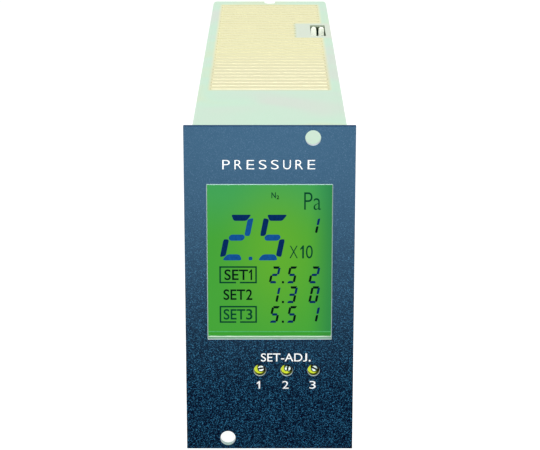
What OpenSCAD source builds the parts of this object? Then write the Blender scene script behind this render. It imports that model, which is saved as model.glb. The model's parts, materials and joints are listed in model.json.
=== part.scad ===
// Panel-mounted vacuum gauge: a painted front panel with a backlit display and three set-point trimmers,
// on a long folded sheet case with a slotted cover.
// The panel's rear face is the plane y = 0 and its centre is x = z = 0.
// +X is to the right as the panel is read, +Y runs back into the case and +Z is up.

/* [Front panel] */
// Width of the display window
window_w = 35.2; // [30:0.1:44]
// Height of the display window
window_h = 45.7; // [38:0.1:60]
// Chamfer round the window's front edge
window_edge = 0.15; // [0.1:0.05:0.6]
// Panel width left and right of the window
window_side = 6.4; // [5.6:0.1:12]
// Panel height above the window
window_top = 16.6; // [15:0.1:30]
// Panel height below the window
window_bottom = 33.7; // [29:0.1:50]
// Thickness of the panel
panel_t = 2; // [1.6:0.1:4]
// Distance of the mounting holes from the panel's upright centre line
mount_x = 12.1; // [6:0.1:20]
// Distance of the mounting holes from the panel's top and bottom edges
mount_edge = 3.25; // [2.8:0.05:3.5]
// Diameter of the mounting holes
mount_d = 4.4; // [3.2:0.1:4.8]
// Distance of the panel studs in from the case's side walls
stud_in = 4.6; // [3.6:0.1:6]
// Distance of the panel studs from the panel's top and bottom edges
stud_edge = 10; // [9.8:0.1:10.4]

/* [Set-point trimmers] */
// Distance between neighbouring access holes
set_pitch = 7.7; // [7:0.1:9]
// Distance of the middle access hole in from the window's right side
set_in = 12.7; // [12:0.1:18]
// Distance of the access holes below the window
set_drop = 9.5; // [7:0.1:14]
// Diameter of the access holes
set_hole_d = 3.4; // [3:0.1:4]
// Chamfer round the access holes' front edges
set_hole_edge = 0.1; // [0.05:0.05:0.5]
// How far the trimmers sit to the right of their access holes
set_offset = 0.3; // [0:0.05:0.35]
// How far the rotors' faces lie behind the front of the panel
rotor_sink = 1.5; // [0.8:0.1:1.8]
// Diameter of the rotors
rotor_d = 2.15; // [1.8:0.05:2.4]
// Gap between the panel and the trimmers behind it
trimmer_gap = 0.9; // [0.2:0.1:1.2]
// Width of a trimmer
trimmer_w = 6.6; // [6:0.1:6.9]
// Height of a trimmer
trimmer_h = 7; // [6:0.1:9]

/* [Display] */
// Depth of the polariser behind the panel's rear face
lcd_sink = 1.5; // [0.8:0.1:2.5]
// Thickness of the polariser film
polariser_t = 0.3; // [0.2:0.05:0.5]
// Height of bare glass below the polariser
polariser_short = 0.9; // [0.4:0.1:2]
// Thickness of the display cell
glass_t = 2.8; // [1.6:0.1:3.6]
// Thickness of the backlight
backlight_t = 3.2; // [2:0.1:6]
// Glass hidden above and below the window
glass_margin = 1.6; // [1.2:0.1:2]
// Wall of the display frame
frame_wall = 1.2; // [0.8:0.1:1.4]

/* [Case] */
// How far the panel stands out past the case on each side
lip_x = 1.2; // [0.6:0.1:1.4]
// How far the panel stands out past the case at the top and bottom
lip_z = 6; // [5.6:0.1:6.2]
// Depth of the case behind the panel
case_d = 248; // [215:1:320]
// Thickness of the case's sheet
sheet_t = 0.8; // [0.6:0.1:1]
// Outer radius of the case's folds
bend_r = 1.4; // [1.1:0.1:2]
// Height of the cover's side flanges
flange_h = 16; // [13:0.5:20]
// Distance between neighbouring slots
slot_pitch = 5.2; // [4:0.1:8]
// Width of a slot
slot_w = 1.5; // [1:0.1:3]
// Length of a slot
slot_l = 38; // [28:0.5:39]
// Distance of the first slot from the panel
slot_start = 76; // [50:1:100]
// Plain cover behind the last slot
slot_end = 8.5; // [7:0.5:20]
// Width of the notch in the cover's rear edge
notch_w = 4.2; // [3:0.1:6]
// Depth of the notch in the cover's rear edge
notch_l = 5.4; // [3:0.1:6]

/* [Selector switch] */
// Distance of the levers at rest from the rear of the case
selector_rear = 60; // [52:0.5:80]
// Distance between the two levers
lever_pitch = 2.9; // [2.8:0.05:3]
// Width of a lever
lever_w = 2; // [1.6:0.05:2.1]
// Thickness of a lever
lever_t = 2.4; // [1.6:0.1:3]
// How far the levers stand out of the cover
lever_rise = 0; // [-1:0.1:2]
// Free length of a lever above its switch
lever_l = 5.9; // [5:0.1:8]
// Travel of a lever
lever_travel = 3; // [2:0.1:4]
// Clear width of the cover's window over the levers
opening_w = 5.5; // [5.4:0.05:5.9]
// Clear length of the cover's window in front of the levers
opening_front = 17.5; // [8:0.5:20]
// Clear length of the cover's window behind the levers
opening_rear = 5; // [2:0.5:8]
// Width of the plain patch left of the window
patch_w = 5.4; // [3:0.1:10]
// Plain margin in front of and behind the window
patch_l = 3.5; // [3:0.5:8]

/* [Boards] */
// Thickness of the circuit boards
board_t = 1.6; // [1.2:0.1:2]
// Length of the spacers between the main board and the case wall
spacer_l = 2.45; // [2.3:0.05:3]
// Height of the main board above the case floor
board_lift = 5; // [3:0.5:10]
// Distance of the rear board in front of the case's rear face
rear_board_in = 12; // [11:0.5:16]

/* [Transformer] */
// Distance of the transformer's centre from the rear of the case
transformer_rear = 130; // [125:1:145]
// Length of the core
core_l = 41; // [36:1:46]
// Height of the core
core_h = 34; // [30:1:38]
// Width of the core's stack
core_w = 16; // [12:0.5:18]
// Width of the core's limb in the middle
limb_l = 13.6; // [10:0.2:15]
// Width of the coil
coil_w = 30; // [26:0.5:31]

/* [Rear connectors] */
// Sideways place of the sensor socket and the power terminals
left_column_x = -8.5; // [-9:0.1:-7]
// Sideways place of the output socket
right_column_x = 9.5; // [9:0.1:10]
// Height of the sensor socket above the case's middle
sensor_z = 21; // [19:0.5:24]
// Diameter of the sensor socket's barrel
sensor_d = 16; // [13:0.5:17]
// How far the sensor socket stands out of the rear panel
sensor_out = 9; // [6:0.5:14]
// Height of the output socket's mouth
output_h = 25; // [16:0.2:26]
// Width of the output socket's mouth
output_w = 8.3; // [8:0.1:9]
// How far the output socket stands out of the rear panel
output_out = 5.6; // [5:0.1:8]
// Height of the power terminals above the case's middle
terminal_z = -18; // [-20:0.5:-16]
// Distance between neighbouring power terminals
terminal_pitch = 7.62; // [6:0.02:8]
// Width of the power terminal block
terminal_w = 14; // [12:0.5:15]
// How far the power terminal block stands out of the rear panel
terminal_out = 9; // [7:0.5:12]

/* [Hidden] */
$fn = 48;
// Amount by which a cut passes a face
cut = 0.5;
// Clearance round parts that seat in one another
fit = 0.1;
// Running clearance of the rotors, on the radius
run = 0.04;

// Overall sizes
panel_w = window_w + 2 * window_side;
panel_h = window_h + window_top + window_bottom;
case_w = panel_w - 2 * lip_x;
case_h = panel_h - 2 * lip_z;
case_top = case_h / 2;
floor_z = -case_top + sheet_t;
ceiling_z = case_top - sheet_t;
chassis_w = case_w - 2 * (sheet_t + fit);
inner_x = chassis_w / 2 - sheet_t;
fold_r = bend_r - sheet_t;
chassis_top = ceiling_z - fold_r - fit;
mount_z = panel_h / 2 - mount_edge;

// Window and access holes
window_z0 = -panel_h / 2 + window_bottom;
window_z1 = window_z0 + window_h;
set_x = window_w / 2 - set_in;
set_z = window_z0 - set_drop;
function set_hole_x(i) = set_x + (i - 2) * set_pitch;
function rotor_x(i) = set_hole_x(i) + set_offset;
// Turn of each rotor's slot from the upright
rest_turn = [80, 10, -62];

// Screws, studs and nuts
screw_d = 2.5;
screw_head_d = screw_d + 2 * sheet_t;
screw_slot = 0.5;
recess_t = 0.4;
nut_d = 5;
nut_t = 1.6;
hex_d = 5.2;
stud_x = inner_x - stud_in;
stud_z = panel_h / 2 - stud_edge;
stud_head_d = 4.5;
stud_head_t = 0.9;
stud_l = 4.4;
ear_reach = 8;
ear_below = 2.6;
ear_above = 2.2;

// Display stack, from the front to the back
glass_y = lcd_sink + polariser_t;
backlight_y = glass_y + glass_t;
display_y = backlight_y + backlight_t + 2 * fit;
display_rear = display_y + board_t;
frame_x = inner_x - 3 * fit;
glass_x = frame_x - frame_wall - fit;
glass_z0 = window_z0 - glass_margin;
glass_z1 = window_z1 + glass_margin;
strip_h = 2;
strip_inset = 0.3;
strip_x_inset = 1;
backlight_gap = 0.4;
peg_inset = 3;
display_edge = 0.6;

// Trimmers
trimmer_wall = 1;
trimmer_base_t = 1.6;
trimmer_split = display_y - trimmer_base_t;
pivot_y = display_y - trimmer_base_t / 2;
rotor_flange_d = 4.6;
rotor_flange_t = 1.2;
rotor_cavity_d = 5;
rotor_pivot_d = 1.2;
rotor_slot_w = 0.5;
rotor_slot_depth = 0.8;
pin_w = 0.6;
pin_pitch = 2.54;
pin_tail = 1.2;

// Cover fastenings
cover_screw_z = case_top - flange_h / 2;
cover_screw_inset = 20;
cover_screw_y = [cover_screw_inset, case_d / 2, case_d - cover_screw_inset];
cover_screw_l = 2 * sheet_t + fit + nut_t;

// Rear panel
rear_flange_l = 10;
rear_x = inner_x - fit;
rear_z0 = floor_z + fold_r + fit;
rear_screw_y = case_d - rear_flange_l / 2;
rear_screw_drop = 5.6;
rear_screw_z = [-case_top / 2 - rear_screw_drop, case_top - flange_h - 2 * screw_head_d];
rear_screw_l = 2 * sheet_t + fit + nut_t;

// Main board and what it carries
board_x1 = inner_x - spacer_l;
board_x0 = board_x1 - board_t;
board_x = board_x1 - board_t / 2;
board_z0 = floor_z + board_lift;
board_front_gap = 4.4;
board_rear_gap = 4;
board_y0 = display_rear + board_front_gap;
board_y1 = case_d - rear_board_in - board_rear_gap;
board_hole_inset = 8;
board_hole_y = [board_y0 + board_hole_inset, board_y1 - board_hole_inset];
board_hole_z = [board_z0 + board_hole_inset, case_top - flange_h - board_hole_inset];
spacer_d = 5.5;
board_screw_l = sheet_t + spacer_l + board_t + nut_t + fit;

// Selector switch
lever_y = case_d - selector_rear;
lever_top = case_top + lever_rise;
selector_top = lever_top - lever_l;
selector_plate_t = 0.8;
selector_split = selector_top - selector_plate_t;
selector_base_h = 5.4;
selector_grip = 3;
selector_wall = 0.45;
selector_end = 1.5;
foot_side = 0.1;
foot_end = 0.6;
foot_w = lever_w + 2 * foot_side;
foot_l = lever_t + 2 * foot_end;
foot_h = 1.2;
selector_w = lever_pitch + lever_w + 2 * selector_wall;
selector_y0 = lever_y - lever_travel - foot_l / 2 - selector_end;
selector_y1 = lever_y + foot_l / 2 + selector_end;
selector_z0 = selector_split - selector_base_h;
board_z1 = selector_z0 + selector_grip;
foot_z0 = selector_split - foot_h - fit;

// Cover window and slots
opening_y0 = lever_y - opening_front;
opening_y1 = lever_y + opening_rear;
opening_x0 = board_x - opening_w / 2;
opening_x1 = board_x + opening_w / 2;
slot_count = floor((case_d - slot_start - slot_end - slot_w) / slot_pitch) + 1;
floor_slot_short = 5;
floor_slot_l = slot_l - 2 * floor_slot_short;
function slot_y(i) = slot_start + slot_w / 2 + i * slot_pitch;
function by_opening(y) = y > opening_y0 - patch_l - slot_w && y < opening_y1 + patch_l + slot_w;

// Transformer
transformer_y = case_d - transformer_rear;
transformer_x = -4.5;
core_z = floor_z + core_h / 2;
core_end = (core_l - limb_l) / 4;
coil_l = limb_l + 2 * core_end - 2 * fit;
coil_h = core_h - 2 * core_end - 2 * fit;
strap_t = 1;
strap_inset = 2;
strap_w = core_w - 2 * strap_inset;
strap_foot = 8;
strap_screw_y = core_l / 2 + strap_t + strap_foot / 2;
strap_screw_l = sheet_t + strap_t + nut_t;

// Parts on the main board
capacitor_d = 16;
capacitor_l = 25;
capacitor_gap = 4;
capacitor_y = transformer_y + core_l / 2 + strap_foot + capacitor_gap + capacitor_d / 2;
capacitor_pitch = 18;
capacitor_z = board_z0 + board_hole_inset + spacer_d + capacitor_d / 2;
relay_size = [15.5, 12, 16];
relay_ahead = 30;
relay_y = case_d - rear_board_in - relay_ahead;
relay_pitch = 18;
relay_edge = 1;
chip_size = [4.2, 36, 13.8];
chip_z = 6;
chip_lift = 0.8;
chip_notch_d = 3;
chip_pins = floor(chip_size[1] / pin_pitch);
chip_pin_inset = (chip_size[1] - (chip_pins - 1) * pin_pitch - pin_w) / 2;
sink_l = 24;
sink_h = 22;
sink_t = 1.5;
sink_reach = 13;
sink_fins = 5;
fin_reach = 4.5;
sink_y = transformer_y - sink_l / 2;
sink_lift = 6;
sink_z = core_z + core_h / 2 + sink_lift;
regulator_size = [4.4, 10, 15];
regulator_tab_t = 1.3;

// Plugs and sockets between the boards
plug_pins = 10;
plug_w = 5;
plug_t = 2.5;
plug_pin_l = 5;
socket_l = 8.5;
plug_z = -2;
plug_x = board_x0 - plug_w / 2;
plug_x0 = board_x0 - plug_w;
plug_z0 = plug_z - plug_pins * pin_pitch / 2;
plug_z1 = plug_z + plug_pins * pin_pitch / 2;
socket_gap = 0.2;
socket_rear = display_rear + plug_t + socket_gap + socket_l;
chip_y = (socket_rear + sink_y - chip_size[1]) / 2;

// Rear connectors
rear_inside = case_d - sheet_t;
rear_board_y0 = case_d - rear_board_in;
rear_board_y1 = rear_board_y0 + board_t;
rear_board_gap = 3;
rear_board_x0 = -inner_x + rear_board_gap;
sensor_flange_rim = 2;
sensor_flange_d = sensor_d + 2 * sensor_flange_rim;
sensor_flange_t = 1.5;
sensor_wall = 1.4;
sensor_step = 0.5;
sensor_nut_rim = 3;
sensor_nut_d = sensor_d + 2 * sensor_nut_rim;
sensor_nut_t = 2.5;
sensor_pin_d = 1;
sensor_pins_n = 6;
sensor_ring_d = 7.5;
sensor_pin_out = 6;
sensor_key_w = 1.6;
sensor_key_h = 1;
output_wall = 0.5;
output_flange_w = 12.5;
output_flange_rim = 7;
output_flange_h = output_h + 2 * output_flange_rim;
output_flange_t = 1;
output_y = rear_inside - output_flange_t;
output_lean = 10;
output_hole_d = 1.1;
output_hole_pitch = 2.74;
output_row_pitch = 2.84;
output_hole_depth = 6;
output_row_holes = [8, 7];
jack_out = 4.16;
jack_z = output_h / 2 + jack_out;
jack_hex_d = 5.5;
jack_l = 5;
jack_bore_d = 2.2;
jack_shank_d = 2.9;
terminal_n = 3;
terminal_wall = 1.2;
terminal_floor = 3.5;
terminal_h = terminal_n * terminal_pitch + terminal_wall;
terminal_plate_t = 0.8;
terminal_screw_d = 3;
terminal_head_d = 5.4;
terminal_head_t = 1.8;

// A box between two opposite corners
module slab(low, high) {
    translate(low) cube(high - low);
}

// A flat outline in x and z, extruded from y0 to y1
module along_y(y0, y1) {
    translate([0, y1, 0]) rotate([90, 0, 0]) linear_extrude(y1 - y0) children();
}

// A round rod along y
module rod_y(d, y0, y1) {
    translate([0, y0, 0]) rotate([-90, 0, 0]) cylinder(d = d, h = y1 - y0);
}

// A six-sided rod along y, by its width across the corners
module hex_y(d, y0, y1) {
    translate([0, y0, 0]) rotate([-90, 0, 0]) cylinder(d = d, h = y1 - y0, $fn = 6);
}

// A channel of folded sheet, standing on its web, with its walls reaching up to h
module channel_block(w, h, r) {
    translate([-w / 2, r]) square([w, h - r]);
    translate([r - w / 2, 0]) square([w - 2 * r, h]);
    for (side = [-1, 1]) translate([side * (w / 2 - r), r]) circle(r);
}
module channel_outline(w, h, r, t) {
    difference() {
        channel_block(w, h, r);
        translate([0, t]) channel_block(w - 2 * t, h, r - t);
    }
}

// A slot with round ends along x, cut through a sheet whose upper face is at z
module slot_cut(x0, x1, y, z) {
    r = slot_w / 2;
    translate([x0 + r, y - r, z - sheet_t - cut]) cube([x1 - x0 - slot_w, slot_w, sheet_t + 2 * cut]);
    for (x = [x0 + r, x1 - r]) translate([x, y, z - sheet_t - cut]) cylinder(r = r, h = sheet_t + 2 * cut);
}

// A flush screw whose head face is at z = 0 and whose shank points down, and the hole that it sits in
module flush_screw(l) {
    difference() {
        union() {
            translate([0, 0, -sheet_t]) cylinder(d1 = screw_d, d2 = screw_head_d, h = sheet_t);
            translate([0, 0, -l]) cylinder(d = screw_d, h = l - sheet_t);
        }
        for (turn = [0, 90])
            rotate(turn) translate([0, 0, sheet_t / 2 - recess_t])
                cube([screw_d, screw_slot, sheet_t], center = true);
    }
}
module flush_hole() {
    hole_d = screw_d + 2 * fit;
    translate([0, 0, -sheet_t]) cylinder(d1 = hole_d, d2 = hole_d + 2 * sheet_t, h = sheet_t);
    translate([0, 0, -sheet_t - cut]) cylinder(d = hole_d, h = sheet_t + 2 * cut);
    cylinder(d = hole_d + 2 * sheet_t, h = cut);
}
module plain_hole(l) {
    translate([0, 0, -l]) cylinder(d = screw_d + 2 * fit, h = l + cut);
}
module clinch_nut() {
    difference() {
        translate([0, 0, -nut_t]) cylinder(d = nut_d, h = nut_t);
        plain_hole(nut_t + cut);
    }
}

// Places for fastenings, each with its own z axis pointing out of the part
module at_studs() {
    for (x = [-stud_x, stud_x], z = [-stud_z, stud_z]) translate([x, 0, z]) children();
}
module at_cover_screws(x) {
    for (side = [-1, 1], y = cover_screw_y)
        translate([side * x, y, cover_screw_z]) rotate([0, side * 90, 0]) children();
}
module at_rear_screws(x) {
    for (side = [-1, 1], z = rear_screw_z)
        translate([side * x, rear_screw_y, z]) rotate([0, side * 90, 0]) children();
}
module at_board_screws(x) {
    for (y = board_hole_y, z = board_hole_z) translate([x, y, z]) rotate([0, 90, 0]) children();
}
module at_strap_screws(z) {
    for (side = [-1, 1])
        translate([transformer_x, transformer_y + side * strap_screw_y, z]) rotate([180, 0, 0]) children();
}

// Front panel: a flat plate with the window, the access holes and the two mounting holes
module front_panel() {
    color("#2c4a60") difference() {
        slab([-panel_w / 2, -panel_t, -panel_h / 2], [panel_w / 2, 0, panel_h / 2]);
        slab([-window_w / 2, -panel_t - cut, window_z0], [window_w / 2, cut, window_z1]);
        for (side = [-1, 1])
            translate([side * mount_x, 0, side * mount_z]) rod_y(mount_d, -panel_t - cut, cut);
        for (i = [1:3]) translate([set_hole_x(i), 0, set_z]) {
            rod_y(set_hole_d, -panel_t - cut, cut);
            broken_edge(set_hole_d, set_hole_edge);
        }
        at_studs() rod_y(stud_head_d + fit, -stud_head_t, cut);
        window_chamfer();
    }
}
// The broken front edge of a round hole in the panel
module broken_edge(d, edge) {
    translate([0, -panel_t - cut, 0]) rotate([-90, 0, 0])
        cylinder(d1 = d + 2 * (edge + cut), d2 = d, h = edge + cut);
}
module window_chamfer() {
    bar = window_edge * sqrt(2);
    translate([0, -panel_t, window_z0 + window_h / 2]) {
        for (z = [-window_h / 2, window_h / 2])
            translate([0, 0, z]) rotate([45, 0, 0]) cube([window_w, bar, bar], center = true);
        for (x = [-window_w / 2, window_w / 2])
            translate([x, 0, 0]) rotate([0, 0, 45]) cube([bar, bar, window_h], center = true);
    }
}
module panel_studs() {
    color("#c9ccd0") at_studs() {
        rod_y(stud_head_d, -stud_head_t, 0);
        rod_y(screw_d, 0, stud_l);
    }
}

// Display: the frame holds the cell and the backlight against the board
module at_pegs() {
    peg_x = frame_x - peg_inset;
    peg_r = frame_wall / 2;
    for (x = [-peg_x, peg_x], z = [glass_z0 - peg_r, glass_z1 + peg_r]) translate([x, 0, z]) children();
}
module lcd_frame() {
    wall_z = frame_wall + fit;
    pocket_x = glass_x + fit;
    color("#eceee9") {
        difference() {
            slab([-frame_x, fit, glass_z0 - wall_z], [frame_x, display_y, glass_z1 + wall_z]);
            slab([-pocket_x, lcd_sink, glass_z0 - fit], [pocket_x, display_y + cut, glass_z1 + fit]);
            slab([-window_w / 2, 0, window_z0], [window_w / 2, lcd_sink + cut, window_z1]);
        }
        at_pegs() rod_y(frame_wall, display_y, display_rear);
    }
}
module lcd_polariser() {
    color("#7fb54a") slab([-glass_x, lcd_sink, window_z0 + polariser_short], [glass_x, glass_y, glass_z1]);
}
module lcd_glass() {
    color("#8cc257") slab([-glass_x, glass_y, glass_z0], [glass_x, backlight_y, glass_z1]);
}
module backlight() {
    edge = strip_inset + strip_h + backlight_gap;
    rear_y = backlight_y + backlight_t;
    color("#d9e6b0") slab([-glass_x, backlight_y, glass_z0 + edge], [glass_x, rear_y, glass_z1 - edge]);
}
module contact_strips() {
    x = glass_x - strip_x_inset;
    color("#4a4c4e") for (z = [glass_z0 + strip_inset, glass_z1 - strip_inset - strip_h])
        slab([-x, backlight_y, z], [x, display_y, z + strip_h]);
}
module display_board() {
    x = inner_x - display_edge;
    color("#2f6b3c") difference() {
        slab([-x, display_y, floor_z + display_edge], [x, display_rear, chassis_top - display_edge]);
        at_studs() rod_y(screw_d + 2 * fit, display_y - cut, display_rear + cut);
        at_pegs() rod_y(frame_wall + 2 * fit, display_y - cut, display_rear + cut);
        for (i = [1:3]) at_trimmer_pins(i) rod_y(pin_w + 4 * fit, display_y - cut, display_rear + cut);
    }
}
module display_standoffs() {
    color("#c9ccd0") at_studs() difference() {
        hex_y(hex_d, sheet_t, display_y);
        rod_y(screw_d + 2 * fit, 0, display_y + cut);
    }
}
module display_screws() {
    head_t = nut_t;
    color("#c9ccd0") at_studs() difference() {
        union() {
            rod_y(screw_d, stud_l + 2 * fit, display_rear);
            rod_y(nut_d, display_rear, display_rear + head_t);
        }
        for (turn = [0, 90]) rotate([0, turn, 0])
            slab([-screw_d / 2, display_rear + head_t / 2, -screw_slot / 2],
                 [screw_d / 2, display_rear + head_t + cut, screw_slot / 2]);
    }
}

// Set-point trimmers: the rotor's flange is held between the case and the base
module at_trimmer_pins(i) {
    for (p = [[-pin_pitch, -pin_pitch], [0, pin_pitch], [pin_pitch, -pin_pitch]])
        translate([rotor_x(i) + p[0], 0, set_z + p[1]]) children();
}
module trimmer_slab(i, y0, y1) {
    x = trimmer_w / 2;
    z = trimmer_h / 2;
    translate([rotor_x(i), 0, set_z]) slab([-x, y0, -z], [x, y1, z]);
}
module set_trimmer(i) {
    color("#c9d63c") difference() {
        trimmer_slab(i, trimmer_gap, trimmer_split);
        translate([rotor_x(i), 0, set_z]) {
            rod_y(rotor_d + 2 * run, trimmer_gap - cut, trimmer_split);
            rod_y(rotor_cavity_d, trimmer_gap + trimmer_wall, trimmer_split + cut);
        }
    }
}
module trimmer_base(i) {
    color("#c9d63c") {
        difference() {
            trimmer_slab(i, trimmer_split, display_y);
            translate([rotor_x(i), 0, set_z])
                rod_y(rotor_pivot_d + 2 * run, trimmer_split - cut, pivot_y + fit);
        }
        at_trimmer_pins(i) rod_y(pin_w, display_y, display_rear + pin_tail);
    }
}
module set_rotor(i) {
    face = rotor_sink - panel_t;
    slot_r = rotor_slot_w / 2;
    flange_y = trimmer_gap + trimmer_wall + run;
    color("#d8d4c8") translate([rotor_x(i), 0, set_z]) difference() {
        union() {
            rod_y(rotor_d, face, flange_y);
            rod_y(rotor_flange_d, flange_y, flange_y + rotor_flange_t);
            rod_y(rotor_d, flange_y, trimmer_split - run);
            rod_y(rotor_pivot_d, flange_y, pivot_y);
        }
        rotate([0, rest_turn[i - 1], 0])
            slab([-slot_r, face - cut, -rotor_d], [slot_r, face + rotor_slot_depth, rotor_d]);
    }
}

// Chassis: a folded channel, with four ears turned in behind the panel
module chassis() {
    color("#d3dcc9") difference() {
        union() {
            translate([0, 0, -case_top]) along_y(0, case_d)
                channel_outline(chassis_w, chassis_top + case_top, bend_r, sheet_t);
            for (side = [-1, 1], end = [-1, 1]) {
                x0 = side > 0 ? inner_x - ear_reach : -inner_x - cut;
                z0 = end * stud_z - (end > 0 ? ear_below : ear_above);
                slab([x0, 0, z0], [x0 + ear_reach + cut, sheet_t, z0 + ear_below + ear_above]);
            }
        }
        at_studs() rod_y(screw_d + 2 * fit, -cut, sheet_t + cut);
        at_cover_screws(chassis_w / 2) plain_hole(sheet_t + cut);
        at_rear_screws(chassis_w / 2) flush_hole();
        at_board_screws(chassis_w / 2) flush_hole();
        at_strap_screws(-case_top) flush_hole();
        for (i = [0:slot_count - 1]) {
            y = slot_y(i);
            clear_of_strap = abs(y - transformer_y) > strap_screw_y + screw_head_d;
            if (clear_of_strap && y < case_d - rear_flange_l - slot_w)
                slot_cut(-floor_slot_l / 2, floor_slot_l / 2, y, floor_z);
        }
    }
}

// Cover: folded over the chassis, slotted from side to side, with a window over the selector levers
module top_cover() {
    color("#dce4d0") difference() {
        translate([0, 0, case_top]) mirror([0, 0, 1]) along_y(2 * fit, case_d)
            channel_outline(case_w, flange_h, bend_r, sheet_t);
        for (i = [0:slot_count - 1]) {
            y = slot_y(i);
            slot_cut(-slot_l / 2, by_opening(y) ? opening_x0 - patch_w : slot_l / 2, y, case_top);
        }
        slab([opening_x0, opening_y0, ceiling_z - cut], [opening_x1, opening_y1, case_top + cut]);
        translate([0, case_d, ceiling_z - cut]) {
            translate([-notch_w / 2, notch_w / 2 - notch_l, 0]) cube([notch_w, notch_l, sheet_t + 2 * cut]);
            translate([0, notch_w / 2 - notch_l, 0]) cylinder(d = notch_w, h = sheet_t + 2 * cut);
        }
        at_cover_screws(case_w / 2) flush_hole();
    }
}
module cover_screws() {
    color("#c9ccd0") at_cover_screws(case_w / 2) flush_screw(cover_screw_l);
}
module rear_panel() {
    color("#d3dcc9") difference() {
        translate([0, case_d, rear_z0]) mirror([0, 1, 0]) linear_extrude(chassis_top - rear_z0)
            channel_outline(2 * rear_x, rear_flange_l, bend_r, sheet_t);
        translate([left_column_x, 0, sensor_z]) rod_y(sensor_d + 2 * fit, rear_inside - cut, case_d + cut);
        translate([right_column_x, 0, 0]) along_y(rear_inside - cut, case_d + cut) output_outline(fit);
        at_jacks() rod_y(jack_shank_d + 2 * fit, rear_inside - cut, case_d + cut);
        translate([left_column_x, 0, terminal_z])
            slab([-terminal_w / 2 - fit, rear_inside - cut, -terminal_h / 2 - fit],
                 [terminal_w / 2 + fit, case_d + cut, terminal_h / 2 + fit]);
        at_rear_screws(rear_x) plain_hole(sheet_t + cut);
    }
}
module rear_screws() {
    color("#c9ccd0") at_rear_screws(chassis_w / 2) flush_screw(rear_screw_l);
}
module clinch_nuts() {
    color("#c9ccd0") {
        at_cover_screws(inner_x) clinch_nut();
        at_rear_screws(rear_x - sheet_t) clinch_nut();
        at_strap_screws(floor_z + strap_t) clinch_nut();
    }
}

// Main board, upright along the right wall
module main_board() {
    color("#2f6b3c") difference() {
        slab([board_x0, board_y0, board_z0], [board_x1, board_y1, board_z1]);
        at_board_screws(board_x1) plain_hole(board_t + cut);
    }
}
module board_spacers() {
    color("#c9ccd0") at_board_screws(inner_x) difference() {
        translate([0, 0, -spacer_l]) cylinder(d = spacer_d, h = spacer_l);
        plain_hole(spacer_l + cut);
    }
}
module board_screws() {
    color("#c9ccd0") at_board_screws(chassis_w / 2) flush_screw(board_screw_l);
}
module board_nuts() {
    color("#c9ccd0") at_board_screws(board_x0) difference() {
        translate([0, 0, -nut_t]) cylinder(d = hex_d, h = nut_t, $fn = 6);
        plain_hole(nut_t + cut);
    }
}

// Selector switch: its base straddles the board's top edge, and its frame keeps the levers in
module at_levers() {
    for (side = [-1, 1]) translate([board_x + side * lever_pitch / 2, lever_y, 0]) children();
}
module selector_base() {
    x = selector_w / 2;
    color("#1f2123") difference() {
        slab([board_x - x, selector_y0, selector_z0], [board_x + x, selector_y1, selector_split]);
        slab([board_x0 - fit, selector_y0 - cut, selector_z0 - cut],
             [board_x1 + fit, selector_y1 + cut, board_z1 + fit / 2]);
        at_levers() slab([-foot_w / 2 - fit, -lever_travel - foot_l / 2 - fit, foot_z0 - fit],
                         [foot_w / 2 + fit, foot_l / 2 + fit, selector_top]);
    }
}
module selector_frame() {
    x = selector_w / 2;
    color("#1f2123") difference() {
        slab([board_x - x, selector_y0, selector_split], [board_x + x, selector_y1, selector_top]);
        at_levers() slab([-lever_w / 2 - fit, -lever_travel - lever_t / 2 - fit, selector_split - cut],
                         [lever_w / 2 + fit, lever_t / 2 + fit, selector_top + cut]);
    }
}
module selector_lever(side) {
    r = lever_w / 2;
    color("#f4f5f0") translate([board_x + side * lever_pitch / 2, lever_y, 0]) {
        slab([-foot_w / 2, -foot_l / 2, foot_z0], [foot_w / 2, foot_l / 2, foot_z0 + foot_h]);
        slab([-r, -lever_t / 2, foot_z0], [r, lever_t / 2, lever_top - r]);
        translate([0, 0, lever_top - r]) rod_y(lever_w, -lever_t / 2, lever_t / 2);
    }
}

// Transformer on the case floor
module transformer_core() {
    color("#5b5e63") translate([transformer_x, transformer_y, core_z]) difference() {
        cube([core_w, core_l, core_h], center = true);
        for (side = [-1, 1])
            translate([0, side * (limb_l + core_end) / 2, 0])
                cube([core_w + 2 * cut, core_end, core_h - 2 * core_end], center = true);
    }
}
module transformer_coil() {
    color("#c8a23a") translate([transformer_x, transformer_y, core_z]) difference() {
        cube([coil_w, coil_l, coil_h], center = true);
        cube([core_w + 2 * fit, limb_l + 2 * fit, coil_h + 2 * cut], center = true);
    }
}
module transformer_strap() {
    x = strap_w / 2;
    inside = core_l / 2 + fit;
    outside = inside + strap_t;
    roof = core_h + fit;
    color("#c9ccd0") difference() {
        translate([transformer_x, transformer_y, floor_z]) {
            difference() {
                slab([-x, -outside, 0], [x, outside, roof + strap_t]);
                slab([-x - cut, -inside, -cut], [x + cut, inside, roof]);
            }
            for (y = [-outside - strap_foot, outside]) slab([-x, y, 0], [x, y + strap_foot, strap_t]);
        }
        at_strap_screws(floor_z) rotate([180, 0, 0]) plain_hole(cut);
        at_strap_screws(floor_z) plain_hole(strap_t + cut);
    }
}
module transformer_screws() {
    color("#c9ccd0") at_strap_screws(-case_top) flush_screw(strap_screw_l);
}

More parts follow.
